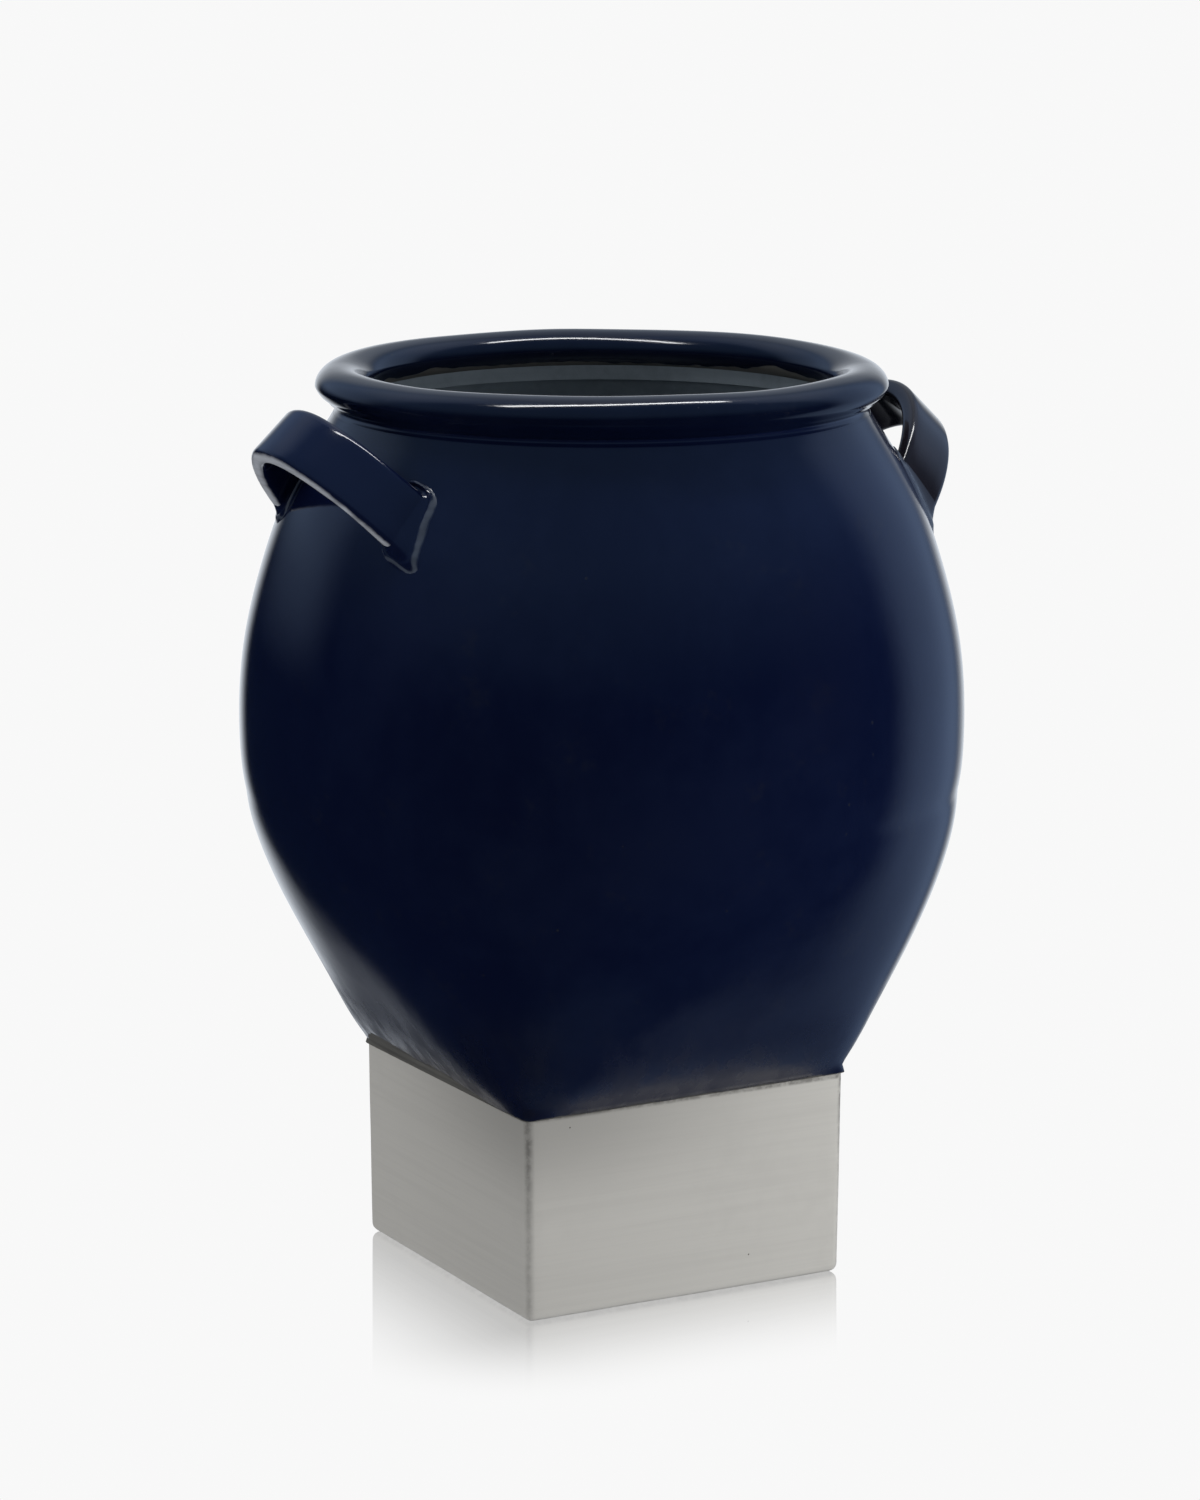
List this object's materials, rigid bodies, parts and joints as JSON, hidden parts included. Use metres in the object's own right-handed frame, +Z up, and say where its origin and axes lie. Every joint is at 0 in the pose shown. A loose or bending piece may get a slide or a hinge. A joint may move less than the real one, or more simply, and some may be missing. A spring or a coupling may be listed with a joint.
{
  "type": "two-handled jar on a square plinth",
  "caption": "Round-bellied glazed jar with a rolled rim and strap handles, narrowing to a square plinth; stands free and holds stems or umbrellas.",
  "frame": {"origin": "centre of the plinth's underside, on the surface the jar stands on", "axes": "+Z up the jar's axis; the handles face -X and +X; -Y is the front wall of the plinth"},
  "size_m": [0.326, 0.3166, 0.4],
  "materials": {
    "navy_glaze": "gloss",
    "pale_slip": "matte",
    "raw_clay": "matte"
  },
  "bodies": {
    "root": {"plinth_floor": "pale_slip", "plinth_wall_front": "pale_slip", "plinth_wall_right": "pale_slip", "plinth_wall_back": "pale_slip", "plinth_wall_left": "pale_slip", "lower_belly": "navy_glaze", "upper_belly": "navy_glaze", "neck_collar": "navy_glaze", "rolled_rim": "navy_glaze", "handle_left": "navy_glaze", "handle_left_front_weld": "navy_glaze", "handle_left_back_weld": "navy_glaze", "handle_right": "navy_glaze", "handle_right_front_weld": "navy_glaze", "handle_right_back_weld": "navy_glaze"}
  },
  "joints": []
}
